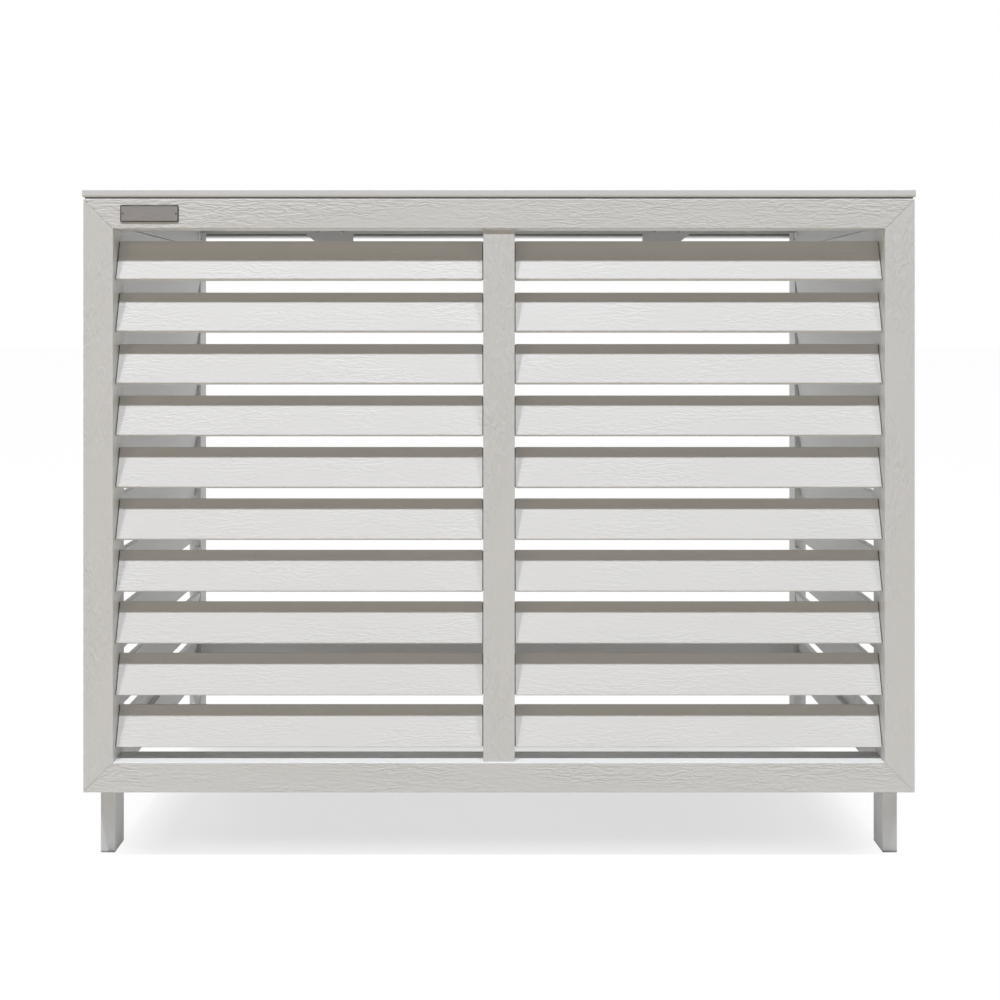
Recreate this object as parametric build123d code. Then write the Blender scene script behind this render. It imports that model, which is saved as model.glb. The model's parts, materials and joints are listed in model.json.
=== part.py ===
"""Louvred cover for an outdoor air conditioner unit.

A free-standing screen of hollow aluminium bars: a mitred front panel with two bays of fixed slats,
two louvred side panels whose bars run down as legs, two rear rails and a hinged lid.
All lengths are in millimetres. +Z is up and the front panel faces -Y. The work is laid out with the
front panel's face at y = 0, and every piece is shifted back by the same amount when it is written,
so that the origin lies on the floor under the middle of the whole.
"""

from build123d import *
from math import cos, radians, sin
import os

# Front panel
front_width = 1000.0
front_depth = 39.0
front_face = 36.0
floor_clearance = 90.0
bar_wall = 1.5
bar_edge = 1.0
mitre_seam = 0.4
mullion_width = 38.0
mullion_setback = 3.0
mullion_top_seam = 1.2
mullion_spigot_length = 26.0

# Front slats, from the front lower edge of each
front_slat_chord = 49.7
front_slat_pitch = 62.9
front_slat_tilt = 18.8
front_slat_setback = 8.5
slat_thickness = 7.5
slat_wall = 1.3
slat_edge = 0.8

# End clips that hold a slat at its tilt
clip_flange = 1.2
clip_flange_margin = 1.0
clip_plug_length = 10.0
clip_tab_chord = 14.0
clip_tab_thickness = 3.0
clip_tab_reach = 1.5
clip_clearance = 0.15

# Cabinet: the side panels and what joins them
cabinet_depth = 512.0
cabinet_width = 984.2
panel_gap = 1.6
leg_thickness = 18.0
leg_depth = 36.0
side_bottom_height = 40.0
foot_sole = 2.5
foot_sole_edge = 1.2
foot_plug_length = 22.0

# Side slats, from the bottom rail up
side_slat_chord = 62.4
side_slat_pitch = 71.5
side_slat_tilt = 9.6
side_short_slat_chord = 22.5
side_slat_margin = 1.0

# Rear rails
rear_rail_thickness = 18.0
rear_rail_face = 36.0
rear_lower_rail_height = 110.0
rear_groove_width = 2.6
rear_groove_lip = 2.0

# Joinery
joint_clearance = 0.2
corner_cleat_arm = 58.0
side_cleat_arm = 46.0
corner_cleat_thickness = 10.0
spigot_length = 30.0
screw_head_radius = 4.5
screw_head_height = 1.3
screw_shank_radius = 2.5
screw_hole_clearance = 0.1
screw_grip = 20.0

# Catches of the front panel
catch_inset = 110.0
catch_stud_radius = 4.5
catch_stud_length = 18.0
catch_stud_tip = 1.5
catch_shank_radius = 2.5
catch_nut_radius = 5.0
catch_nut_height = 3.0
catch_bore_clearance = 0.3
catch_socket_radius = 8.0
catch_socket_flange_radius = 10.0
catch_socket_length = 20.0

# Lid, a shallow tray with its rim down on the front and the sides
lid_top_height = 814.4
lid_seam = 1.6
lid_sheet = 1.5
lid_rim_height = 8.8
lid_rim_thickness = 3.0
lid_rim_edge = 2.4
lid_top_edge = 0.6
lid_corner = 2.0
lid_front_overhang = 0.7
lid_side_overhang = 1.7
lid_pad_height = 1.5
lid_pad_length = 24.0
lid_pad_width = 12.0
lid_pad_inset = 60.0
lid_batten_width = 25.0
lid_batten_height = 12.0
lid_batten_inset = 100.0

# Lid hinges
hinge_inner = 230.6
hinge_width = 74.4
hinge_leaf = 1.2
hinge_leaf_gap = 0.5
hinge_barrel_radius = 2.8
hinge_barrel_gap = 0.5
hinge_knuckle_gap = 0.3
hinge_pin_radius = 1.5
hinge_pin_clearance = 0.05
hinge_pin_head_radius = 2.4
hinge_pin_head_height = 1.0
hinge_drop = 8.5
hinge_corner_width = 15.0
hinge_corner_height = 11.5
hinge_strap_reach = 36.0
hinge_screw_inset = 18.0
hinge_screw_head_radius = 3.5
hinge_screw_head_height = 2.0
hinge_screw_shank_radius = 1.75
hinge_screw_length = 9.0
rivet_shank_radius = 2.0
rivet_head_radius = 3.5
rivet_head_height = 1.0
rivet_inset = 12.0

# Name plate, left bare
plate_width = 70.0
plate_height = 20.0
plate_thickness = 1.2
plate_corner = 1.5
plate_centre_from_edge = 80.0
plate_rivet_inset = 3.0
plate_rivet_radius = 0.8
plate_rivet_head_radius = 1.2
plate_rivet_head_height = 0.4
plate_rivet_clearance = 0.05

# Overrun of a cut past the faces it goes through
overrun = 2.0

# Places worked out from the sizes above
half_front = front_width / 2
front_low = floor_clearance
front_top = lid_top_height - lid_rim_height - lid_seam
front_height = front_top - front_low
opening_half = half_front - front_face
opening_low = front_low + front_face
opening_top = front_top - front_face
half_mullion = mullion_width / 2

half_cabinet = cabinet_width / 2
leg_inner = half_cabinet - leg_thickness
leg_middle = half_cabinet - leg_thickness / 2
cabinet_front = front_depth + panel_gap
front_leg_back = cabinet_front + leg_depth
rear_leg_front = cabinet_depth - leg_depth

lid_underside = lid_top_height - lid_sheet
side_top = lid_underside - lid_pad_height
side_opening_low = front_low + side_bottom_height
side_opening_top = side_top - leg_depth

hinge_axis_y = cabinet_depth + hinge_barrel_gap + hinge_barrel_radius
hinge_axis_z = lid_underside - hinge_leaf - hinge_leaf_gap / 2
rear_rail_top = lid_underside - 2 * hinge_leaf - hinge_leaf_gap
rear_rail_low = rear_rail_top - rear_rail_thickness

front_most = -lid_front_overhang
rear_most = hinge_axis_y + hinge_barrel_radius
centre_shift = -(front_most + rear_most) / 2


def write(name, solids):
    """Writes one named piece, or one group of like pieces, in the finished frame."""
    placed = [Pos(0, centre_shift, 0) * solid for solid in solids]
    shape = placed[0] if len(placed) < 2 else Compound(children=placed)
    export_step(shape, os.path.join("parts", name + ".step"))


def block(low, high):
    """A box between its lowest and its highest corner."""
    size = [b - a for a, b in zip(low, high)]
    middle = [(a + b) / 2 for a, b in zip(low, high)]
    return Pos(*middle) * Box(*size)


def along_x(x, y, z):
    """A plane that looks along +X, with its first direction to the rear and its second up."""
    return Plane(origin=(x, y, z), x_dir=(0, 1, 0), z_dir=(1, 0, 0))


def along_y(x, y, z):
    """A plane that looks along +Y, with its first direction to the left and its second up."""
    return Plane(origin=(x, y, z), x_dir=(-1, 0, 0), z_dir=(0, 1, 0))


def along_z(x, y, z):
    """A level plane, with its first direction to the right and its second to the rear."""
    return Plane(origin=(x, y, z), x_dir=(1, 0, 0), z_dir=(0, 0, 1))


def bar(plane, across, up, length):
    """A hollow bar with eased edges, its section centred on the plane's origin."""
    outer = RectangleRounded(across, up, bar_edge)
    inner = Rectangle(across - 2 * bar_wall, up - 2 * bar_wall)
    return extrude(plane * (outer - inner), amount=length)


def rod(plane, radius, length):
    """A round rod from the plane's origin along its normal."""
    return extrude(plane * Circle(radius), amount=length)


def prism(corners, direction, length):
    """A flat outline, pulled out along a direction."""
    outline = make_face(Polyline(*corners, close=True))
    return extrude(outline, amount=length, dir=direction)


def both_sides(solid):
    """A solid of the right side, with its twin of the left side first."""
    return [mirror(solid, about=Plane.YZ), solid]


def screw(plane, head_radius, head_height, shank_radius, length):
    """A screw whose head sits on the plane and whose shank goes along the plane's normal."""
    head = rod(plane, head_radius, -head_height)
    head = fillet(head.edges().filter_by(GeomType.CIRCLE).group_by(Axis(plane.origin, plane.z_dir))[0],
                  radius=head_height / 2)
    return head + rod(plane, shank_radius, length)


# Slats

def front_slat_height(row):
    """Height of a front slat's lower front edge; row 0 is the top one."""
    lean = radians(front_slat_tilt)
    rise = front_slat_chord * cos(lean)
    drop = slat_thickness * sin(lean)
    span = (front_slat_rows - 1) * front_slat_pitch + rise + drop
    lowest = opening_low + (opening_top - opening_low - span) / 2 + drop
    return lowest + (front_slat_rows - 1 - row) * front_slat_pitch


def front_slat_plane(x, row):
    """The section plane of a front slat: first direction through its thickness, second up its chord."""
    lean = radians(front_slat_tilt)
    along = front_slat_chord / 2
    through = slat_thickness / 2
    y = front_slat_setback + along * sin(lean) + through * cos(lean)
    z = front_slat_height(row) + along * cos(lean) - through * sin(lean)
    return Plane(origin=(x, y, z), x_dir=(0, cos(lean), -sin(lean)), z_dir=(1, 0, 0))


def side_slat_plane(y, low, chord):
    """The section plane of a right side slat, whose lowest point lies at a height."""
    lean = radians(side_slat_tilt)
    half_height = (chord * cos(lean) + slat_thickness * sin(lean)) / 2
    origin = (leg_middle, y, low + half_height)
    return Plane(origin=origin, x_dir=(-cos(lean), 0, -sin(lean)), z_dir=(0, 1, 0))


def side_slat_height(chord):
    """The height that a side slat of a given chord takes up."""
    lean = radians(side_slat_tilt)
    return chord * cos(lean) + slat_thickness * sin(lean)


def side_slat_rows():
    """Lowest point and chord of each side slat: a short one, the full ones, and a cut one on top."""
    gap = side_slat_pitch - side_slat_height(side_slat_chord)
    low = side_opening_low + side_slat_margin
    rows = [(low, side_short_slat_chord)]
    low += side_slat_height(side_short_slat_chord) + gap
    limit = side_opening_top - side_slat_margin
    while low + side_slat_height(side_slat_chord) <= limit:
        rows.append((low, side_slat_chord))
        low += side_slat_pitch
    lean = radians(side_slat_tilt)
    cut_chord = (limit - low - slat_thickness * sin(lean)) / cos(lean)
    if cut_chord > clip_tab_chord + 2 * slat_wall:
        rows.append((low, cut_chord))
    return rows


def slat(plane, chord, length):
    """A hollow slat with eased edges."""
    outer = RectangleRounded(slat_thickness, chord, slat_edge)
    inner = Rectangle(slat_thickness - 2 * slat_wall, chord - 2 * slat_wall)
    return extrude(plane * (outer - inner), amount=length)


def clip(plane, chord, way):
    """An end clip on a bar's inner face: tab in the bar, flange between, plug in the slat.

    The plane lies on the bar's face. The slat leaves along the plane's normal times way."""
    tab = Rectangle(clip_tab_thickness, clip_tab_chord)
    tab_length = bar_wall + clip_tab_reach
    flange = Rectangle(slat_thickness - 2 * clip_flange_margin, chord - 2 * clip_flange_margin)
    inset = 2 * (slat_wall + clip_clearance)
    plug = Rectangle(slat_thickness - inset, chord - inset)
    reach = clip_flange + clip_plug_length
    body = extrude(plane * tab, amount=-way * tab_length)
    body += extrude(plane * flange, amount=way * clip_flange)
    return body + extrude(plane * plug, amount=way * reach)


def clip_slot(plane, way):
    """The slot in a bar's wall that a clip's tab goes through."""
    loose = 2 * clip_clearance
    slot = Rectangle(clip_tab_thickness + loose, clip_tab_chord + loose)
    deep = bar_wall + overrun
    return extrude(plane.offset(way * overrun / 2) * slot, amount=-way * deep)


front_slat_rows = int((opening_top - opening_low) // front_slat_pitch)


# Front panel

def front_bar_middle():
    """Depth of the middle of the front frame's bars."""
    return front_depth / 2


def front_stile():
    """The right stile: mitred at both ends, slotted for the slat clips, bored for two catches."""
    x = half_front - front_face / 2
    stile = bar(along_z(x, front_bar_middle(), front_low), front_face, front_depth, front_height)
    outline = [
        (half_front, 0, front_low + mitre_seam),
        (half_front, 0, front_top - mitre_seam),
        (opening_half, 0, opening_top - mitre_seam),
        (opening_half, 0, opening_low + mitre_seam),
    ]
    stile &= prism(outline, (0, 1, 0), front_depth)
    for row in range(front_slat_rows):
        stile -= clip_slot(front_slat_plane(opening_half, row), -1)
    hole_radius = catch_socket_radius + joint_clearance / 2
    for z in catch_heights():
        behind = along_y(leg_middle, front_depth - bar_wall - overrun, z)
        stile -= rod(behind, hole_radius, bar_wall + 2 * overrun)
    return stile


def front_rail(low, face_low):
    """A top or bottom rail of the front frame; face_low is the height of its wide edge."""
    plane = along_x(-half_front, front_bar_middle(), low + front_face / 2)
    rail = bar(plane, front_depth, front_face, front_width)
    narrow = low if face_low > low else low + front_face
    outline = [
        (-half_front, 0, face_low),
        (half_front, 0, face_low),
        (opening_half, 0, narrow),
        (-opening_half, 0, narrow),
    ]
    return rail & prism(outline, (0, 1, 0), front_depth)


def front_top_rail():
    """The top rail, with two holes for the name plate's rivets."""
    rail = front_rail(opening_top, front_top)
    for x in plate_rivet_places():
        front = along_y(x, -overrun, plate_height_middle())
        rail -= rod(front, plate_rivet_radius + plate_rivet_clearance, bar_wall + 2 * overrun)
    return rail


def mullion():
    """The upright between the two bays, a little behind the frame's face."""
    depth = front_depth - mullion_setback
    length = opening_top - opening_low - mullion_top_seam
    middle = mullion_setback + depth / 2
    upright = bar(along_z(0, middle, opening_low), mullion_width, depth, length)
    for row in range(front_slat_rows):
        upright -= clip_slot(front_slat_plane(half_mullion, row), 1)
        upright -= clip_slot(front_slat_plane(-half_mullion, row), -1)
    return upright


def mullion_spigots():
    """Two plugs in the mullion's ends, seated on the top and bottom rails."""
    depth = front_depth - mullion_setback
    across = mullion_width - 2 * (bar_wall + joint_clearance)
    through = depth - 2 * (bar_wall + joint_clearance)
    middle = mullion_setback + depth / 2
    low = block((-across / 2, middle - through / 2, opening_low),
                (across / 2, middle + through / 2, opening_low + mullion_spigot_length))
    high = block((-across / 2, middle - through / 2, opening_top - mullion_spigot_length),
                 (across / 2, middle + through / 2, opening_top))
    return [hollow_upright(low), hollow_upright(high)]


def hollow_upright(solid):
    """A plug with an upright hole through it, so that only a ring of wall is left."""
    box = solid.bounding_box()
    margin = corner_cleat_thickness / 2
    low = (box.min.X + margin, box.min.Y + margin, box.min.Z - overrun)
    high = (box.max.X - margin, box.max.Y - margin, box.max.Z + overrun)
    return solid - block(low, high)


def front_slat(row):
    """A slat of the right bay."""
    start = half_mullion + clip_flange
    length = opening_half - clip_flange - start
    return slat(front_slat_plane(start, row), front_slat_chord, length)


def stile_clips():
    """The right stile's clips, one for each slat."""
    planes = [front_slat_plane(opening_half, row) for row in range(front_slat_rows)]
    return [clip(plane, front_slat_chord, -1) for plane in planes]


def mullion_clips():
    """The mullion's clips, on both of its sides."""
    planes = [front_slat_plane(half_mullion, row) for row in range(front_slat_rows)]
    right = [clip(plane, front_slat_chord, 1) for plane in planes]
    return right + [mirror(one, about=Plane.YZ) for one in right]


def front_cleats():
    """Four angle cleats in the front frame's mitres, against its rear wall."""
    inset = bar_wall + joint_clearance
    width = front_face - 2 * inset
    right = half_front - inset
    back = front_depth - inset - corner_cleat_thickness
    cleats = []
    for corner, up in ((front_low + inset, 1), (front_top - inset, -1)):
        arm = up * corner_cleat_arm
        outline = [
            (right, back, corner),
            (right, back, corner + arm),
            (right - width, back, corner + arm),
            (right - width, back, corner + up * width),
            (right - corner_cleat_arm, back, corner + up * width),
            (right - corner_cleat_arm, back, corner),
        ]
        cleats += both_sides(prism(outline, (0, 1, 0), corner_cleat_thickness))
    return cleats


def plate_height_middle():
    """Height of the name plate's middle, on the middle of the top rail."""
    return opening_top + front_face / 2


def plate_middle():
    """The name plate's middle, measured from the frame's left edge."""
    return -half_front + plate_centre_from_edge


def plate_rivet_places():
    """The two rivets of the name plate."""
    half = plate_width / 2 - plate_rivet_inset
    return [plate_middle() - half, plate_middle() + half]


def name_plate():
    """A bare plate on the top rail's face."""
    plane = along_y(plate_middle(), -plate_thickness, plate_height_middle())
    outline = RectangleRounded(plate_width, plate_height, plate_corner)
    holes = [
        Pos(plate_middle() - x, 0) * Circle(plate_rivet_radius + plate_rivet_clearance)
        for x in plate_rivet_places()
    ]
    return extrude(plane * (outline - holes), amount=plate_thickness)


def plate_rivets():
    """Two small rivets through the plate and the rail's front wall."""
    rivets = []
    for x in plate_rivet_places():
        plane = along_y(x, -plate_thickness, plate_height_middle())
        length = plate_thickness + bar_wall + plate_rivet_head_height
        rivets.append(screw(plane, plate_rivet_head_radius, plate_rivet_head_height,
                            plate_rivet_radius, length))
    return rivets


# Catches of the front panel

def catch_heights():
    """Heights of the lower and the upper catch."""
    return [front_low + catch_inset, front_top - catch_inset]


def catch_sockets():
    """Sockets in the stiles' rear walls, with a flange behind."""
    sockets = []
    flange = panel_gap - joint_clearance
    for z in catch_heights():
        front = along_y(leg_middle, front_depth - catch_socket_length, z)
        socket = rod(front, catch_socket_radius, catch_socket_length)
        socket += rod(along_y(leg_middle, front_depth, z), catch_socket_flange_radius, flange)
        bore = along_y(leg_middle, front_depth - catch_socket_length - overrun, z)
        length = catch_socket_length + flange + 2 * overrun
        socket -= rod(bore, catch_stud_radius + catch_bore_clearance, length)
        sockets += both_sides(socket)
    return sockets


def catch_studs():
    """Studs on the front legs that go into the sockets, each held by a nut in the leg."""
    studs = []
    for z in catch_heights():
        tip = along_y(leg_middle, cabinet_front - catch_stud_length, z)
        stud = rod(tip, catch_stud_radius, catch_stud_length)
        stud = chamfer(stud.edges().group_by(Axis.Y)[0], length=catch_stud_tip)
        shank = along_y(leg_middle, cabinet_front, z)
        stud += rod(shank, catch_shank_radius, bar_wall + catch_nut_height)
        nut = along_y(leg_middle, cabinet_front + bar_wall, z)
        stud += rod(nut, catch_nut_radius, catch_nut_height)
        studs += both_sides(stud)
    return studs


# Side panels

def side_mitre(points):
    """A wedge across the right side panel's thickness, from points of depth and height."""
    corners = [(leg_inner, y, z) for y, z in points]
    return prism(corners, (1, 0, 0), leg_thickness)


def side_leg(front_face_y, mitre_side):
    """A right leg, mitred at the top; mitre_side is 1 where the top rail lies to its rear."""
    low = foot_sole
    plane = along_z(leg_middle, front_face_y + leg_depth / 2, low)
    leg = bar(plane, leg_thickness, leg_depth, side_top - low)
    outer = front_face_y if mitre_side > 0 else front_face_y + leg_depth
    inner = front_face_y + leg_depth if mitre_side > 0 else front_face_y
    return leg & side_mitre([
        (outer, low),
        (outer, side_top - mitre_seam),
        (inner, side_opening_top - mitre_seam),
        (inner, low),
    ])


def side_slat_slots(leg_face_y, way):
    """The slots for the side slats' clips in one leg's inner face."""
    slots = []
    for low, chord in side_slat_rows():
        slots.append(clip_slot(side_slat_plane(leg_face_y, low, chord), way))
    return slots


def front_leg():
    """The right front leg, bored for the catch studs and the bottom rail's screw."""
    leg = side_leg(cabinet_front, 1)
    for slot in side_slat_slots(front_leg_back, 1):
        leg -= slot
    for z in catch_heights():
        hole = along_y(leg_middle, cabinet_front - overrun, z)
        leg -= rod(hole, catch_shank_radius + screw_hole_clearance, bar_wall + 2 * overrun)
    return leg - bottom_rail_screw_hole(cabinet_front)


def rear_leg():
    """The right rear leg, bored for the screws of the bottom rail and the rear lower rail."""
    leg = side_leg(rear_leg_front, -1)
    for slot in side_slat_slots(rear_leg_front, -1):
        leg -= slot
    leg -= rear_screw_hole(rear_rail_middles()[1])
    return leg - bottom_rail_screw_hole(rear_leg_front)


def rear_screw_hole(place):
    """The hole across the right side panel for a screw into a rear rail's spigot."""
    hole = along_x(leg_inner - overrun, *place)
    return rod(hole, screw_shank_radius + screw_hole_clearance, leg_thickness + 2 * overrun)


def bottom_rail_middle():
    """Height of the middle of the side panels' bottom rails."""
    return front_low + side_bottom_height / 2


def bottom_rail_screw_hole(leg_face_y):
    """The hole through a leg for the screw into the bottom rail's spigot."""
    hole = along_y(leg_middle, leg_face_y - overrun, bottom_rail_middle())
    return rod(hole, screw_shank_radius + screw_hole_clearance, leg_depth + 2 * overrun)


def side_top_rail():
    """The right panel's top rail, mitred to the legs, bored for the rear top rail's screw."""
    depth = cabinet_depth - cabinet_front
    plane = along_y(leg_middle, cabinet_front, side_top - leg_depth / 2)
    rail = bar(plane, leg_thickness, leg_depth, depth)
    rail &= side_mitre([
        (cabinet_front, side_top),
        (cabinet_depth, side_top),
        (rear_leg_front, side_opening_top),
        (front_leg_back, side_opening_top),
    ])
    return rail - rear_screw_hole(rear_rail_middles()[0])


def side_bottom_rail():
    """The right panel's bottom rail, butted between the legs."""
    plane = along_y(leg_middle, front_leg_back, bottom_rail_middle())
    return bar(plane, leg_thickness, side_bottom_height, rear_leg_front - front_leg_back)


def side_slats():
    """The right panel's slats, with a clip's flange of space at each end."""
    start = front_leg_back + clip_flange
    length = rear_leg_front - clip_flange - start
    return [slat(side_slat_plane(start, low, chord), chord, length) for low, chord in side_slat_rows()]


def side_slat_clips():
    """The right panel's clips, on the front leg and on the rear leg."""
    clips = []
    for low, chord in side_slat_rows():
        clips.append(clip(side_slat_plane(front_leg_back, low, chord), chord, 1))
        clips.append(clip(side_slat_plane(rear_leg_front, low, chord), chord, -1))
    return clips


def side_cleats():
    """Angle cleats in the side panels' top mitres, against the inner wall."""
    inset = bar_wall + joint_clearance
    width = leg_depth - 2 * inset
    top = side_top - inset
    cleats = []
    for corner, back in ((cabinet_front + inset, 1), (cabinet_depth - inset, -1)):
        points = [
            (corner, top),
            (corner + back * side_cleat_arm, top),
            (corner + back * side_cleat_arm, top - width),
            (corner + back * width, top - width),
            (corner + back * width, top - side_cleat_arm),
            (corner, top - side_cleat_arm),
        ]
        corners = [(leg_inner + inset, y, z) for y, z in points]
        cleat = prism(corners, (1, 0, 0), corner_cleat_thickness)
        cleats += both_sides(cleat - rear_screw_hole(rear_rail_middles()[0]))
    return cleats


def foot_plug(front_face_y):
    """A foot in a leg's lower end: a plug in the bore and a sole under the walls."""
    middle_y = front_face_y + leg_depth / 2
    sole = extrude(along_z(leg_middle, middle_y, 0) * RectangleRounded(leg_thickness, leg_depth, bar_edge),
                   amount=foot_sole)
    sole = fillet(sole.edges().group_by(Axis.Z)[0], radius=foot_sole_edge)
    inset = bar_wall + joint_clearance
    low = (leg_inner + inset, front_face_y + inset, foot_sole)
    high = (half_cabinet - inset, front_face_y + leg_depth - inset, foot_sole + foot_plug_length)
    return sole + hollow_plug(low, high)


def hollow_plug(low, high):
    """A plug with an upright pocket from its top."""
    margin = bar_wall
    pocket_low = (low[0] + margin, low[1] + margin, low[2] + margin)
    pocket_high = (high[0] - margin, high[1] - margin, high[2] + overrun)
    return block(low, high) - block(pocket_low, pocket_high)


# Rear rails and their joints

def rear_rail_middles():
    """Depth and height of the middles of the rear top rail and the rear lower rail."""
    top = (cabinet_depth - rear_rail_face / 2, rear_rail_top - rear_rail_thickness / 2)
    lower = (rear_leg_front + rear_rail_thickness / 2, rear_lower_rail_height + rear_rail_face / 2)
    return top, lower


def rear_top_rail():
    """The rear top rail, laid flat, with a groove along its front wall, bored for the hinge screws."""
    y, z = rear_rail_middles()[0]
    rail = bar(along_x(-leg_inner, y, z), rear_rail_face, rear_rail_thickness, 2 * leg_inner)
    groove_low = rear_rail_low + rear_groove_lip
    rail -= block((-half_cabinet, rear_leg_front - overrun, groove_low),
                  (half_cabinet, rear_leg_front + bar_wall, groove_low + rear_groove_width))
    for x in hinge_screw_places():
        for side in (-1, 1):
            hole = along_y(side * x, rear_leg_front - overrun, z)
            rail -= rod(hole, hinge_screw_shank_radius + screw_hole_clearance, bar_wall + 2 * overrun)
    return rail


def rear_lower_rail():
    """The rear lower rail, on edge, flush with the front of the rear legs."""
    y, z = rear_rail_middles()[1]
    return bar(along_x(-leg_inner, y, z), rear_rail_thickness, rear_rail_face, 2 * leg_inner)


def spigot(plane, across, up):
    """A bored plug in a bar's end, with its face on the plane and its body along the normal."""
    inset = 2 * (bar_wall + joint_clearance)
    body = extrude(plane * Rectangle(across - inset, up - inset), amount=spigot_length)
    bore = plane.offset(-overrun)
    return body - rod(bore, screw_shank_radius + screw_hole_clearance / 2, spigot_length + 2 * overrun)


def rail_spigots():
    """The plugs in the ends of the rear rails and of the side panels' bottom rails."""
    top, lower = rear_rail_middles()
    inward = Plane(origin=(leg_inner, *top), x_dir=(0, 1, 0), z_dir=(-1, 0, 0))
    spigots = both_sides(spigot(inward, rear_rail_face, rear_rail_thickness))
    inward = Plane(origin=(leg_inner, *lower), x_dir=(0, 1, 0), z_dir=(-1, 0, 0))
    spigots += both_sides(spigot(inward, rear_rail_thickness, rear_rail_face))
    z = bottom_rail_middle()
    back = along_y(leg_middle, front_leg_back, z)
    spigots += both_sides(spigot(back, leg_thickness, side_bottom_height))
    ahead = Plane(origin=(leg_middle, rear_leg_front, z), x_dir=(1, 0, 0), z_dir=(0, -1, 0))
    return spigots + both_sides(spigot(ahead, leg_thickness, side_bottom_height))


def frame_screws():
    """The screws through the legs into the spigots."""
    sizes = (screw_head_radius, screw_head_height, screw_shank_radius)
    screws = []
    for y, z in rear_rail_middles():
        inward = Plane(origin=(half_cabinet, y, z), x_dir=(0, 1, 0), z_dir=(-1, 0, 0))
        screws += both_sides(screw(inward, *sizes, leg_thickness + screw_grip))
    z = bottom_rail_middle()
    back = along_y(leg_middle, cabinet_front, z)
    screws += both_sides(screw(back, *sizes, leg_depth + screw_grip))
    ahead = Plane(origin=(leg_middle, cabinet_depth, z), x_dir=(1, 0, 0), z_dir=(0, -1, 0))
    return screws + both_sides(screw(ahead, *sizes, leg_depth + screw_grip))


# Lid and its hinges

def rim_edges(solid, level):
    """The lid's outer edges at its lowest level, 0, or its highest, -1, without the rear one."""
    edges = solid.edges().group_by(Axis.Z)[level]
    return [edge for edge in edges if edge.center().Y < cabinet_depth - lid_rim_thickness]


def lid_tray():
    """The lid: a sheet with a thick rounded rim on the front and the sides, open at the rear."""
    half = half_front + lid_side_overhang
    low = lid_top_height - lid_rim_height
    outside = block((-half, -lid_front_overhang, low), (half, cabinet_depth, lid_top_height))
    front_uprights = outside.edges().filter_by(Axis.Z).group_by(Axis.Y)[0]
    outside = fillet(front_uprights, radius=lid_corner)
    outside = fillet(rim_edges(outside, -1), radius=lid_top_edge)
    outside = fillet(rim_edges(outside, 0), radius=lid_rim_edge)
    inner = half - lid_rim_thickness
    hollow = block((-inner, -lid_front_overhang + lid_rim_thickness, low - overrun),
                   (inner, cabinet_depth + overrun, lid_underside))
    tray = outside - hollow
    for x in rivet_places():
        for side in (-1, 1):
            hole = along_z(side * x, rivet_depth(), lid_underside - overrun)
            tray -= rod(hole, rivet_shank_radius + screw_hole_clearance, lid_sheet + 2 * overrun)
    return tray


def lid_battens():
    """Two hollow battens under the lid's sheet, between the side panels."""
    half = leg_inner - lid_batten_inset / 2
    battens = []
    for y in (cabinet_front + lid_batten_inset, rear_leg_front - lid_batten_inset):
        plane = along_x(-half, y, lid_underside - lid_batten_height / 2)
        battens.append(bar(plane, lid_batten_width, lid_batten_height, 2 * half))
    return battens


def lid_pads():
    """Four soft pads on the side panels' top rails, which the lid rests on."""
    pads = []
    for y in (front_leg_back + lid_pad_inset, rear_leg_front - lid_pad_inset):
        low = (leg_middle - lid_pad_width / 2, y - lid_pad_length / 2, side_top)
        high = (leg_middle + lid_pad_width / 2, y + lid_pad_length / 2, lid_underside)
        pads += both_sides(block(low, high))
    return pads


def hinge_screw_places():
    """Distances of a hinge's screws from the middle of the screen."""
    return [hinge_inner + hinge_screw_inset, hinge_inner + hinge_width - hinge_screw_inset]


def rivet_places():
    """Distances of a hinge's rivets from the middle of the screen."""
    return [hinge_inner + rivet_inset, hinge_inner + hinge_width - rivet_inset]


def hinge_strap_front():
    """Depth of the front edge of a hinge's moving leaf."""
    return rear_leg_front - hinge_strap_reach


def rivet_depth():
    """Depth of the rivets, ahead of the fixed leaf."""
    return hinge_strap_front() + rivet_inset


def knuckle_third():
    """Length of each of a hinge's three knuckles, with its share of the gaps."""
    return hinge_width / 3


def knuckle(start, end, leaf_low):
    """One knuckle with the tail that joins it to its leaf, bored for the pin."""
    barrel = rod(along_x(start, hinge_axis_y, hinge_axis_z), hinge_barrel_radius, end - start)
    tail = block((start, cabinet_depth - hinge_leaf, leaf_low),
                 (end, hinge_axis_y, leaf_low + hinge_leaf))
    bore = along_x(start - overrun, hinge_axis_y, hinge_axis_z)
    hole = rod(bore, hinge_pin_radius + hinge_pin_clearance, end - start + 2 * overrun)
    return barrel + tail - hole


def hinge_fixed_leaf():
    """The right fixed leaf: over the rear top rail and down its front, with a cut outer corner."""
    inner = hinge_inner
    outer = hinge_inner + hinge_width
    front = rear_leg_front - hinge_leaf
    top = rear_rail_top + hinge_leaf
    bottom = rear_rail_low - hinge_drop
    leaf = block((inner, front, rear_rail_top), (outer, cabinet_depth, top))
    leaf += prism([
        (inner, front, bottom),
        (outer - hinge_corner_width, front, bottom),
        (outer, front, bottom + hinge_corner_height),
        (outer, front, top),
        (inner, front, top),
    ], (0, 1, 0), hinge_leaf)
    third = knuckle_third()
    leaf += knuckle(inner, inner + third, rear_rail_top)
    leaf += knuckle(outer - third, outer, rear_rail_top)
    for x in hinge_screw_places():
        hole = along_y(x, front - overrun, rear_rail_middles()[0][1])
        leaf -= rod(hole, hinge_screw_shank_radius + screw_hole_clearance, hinge_leaf + overrun)
    return leaf


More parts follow.
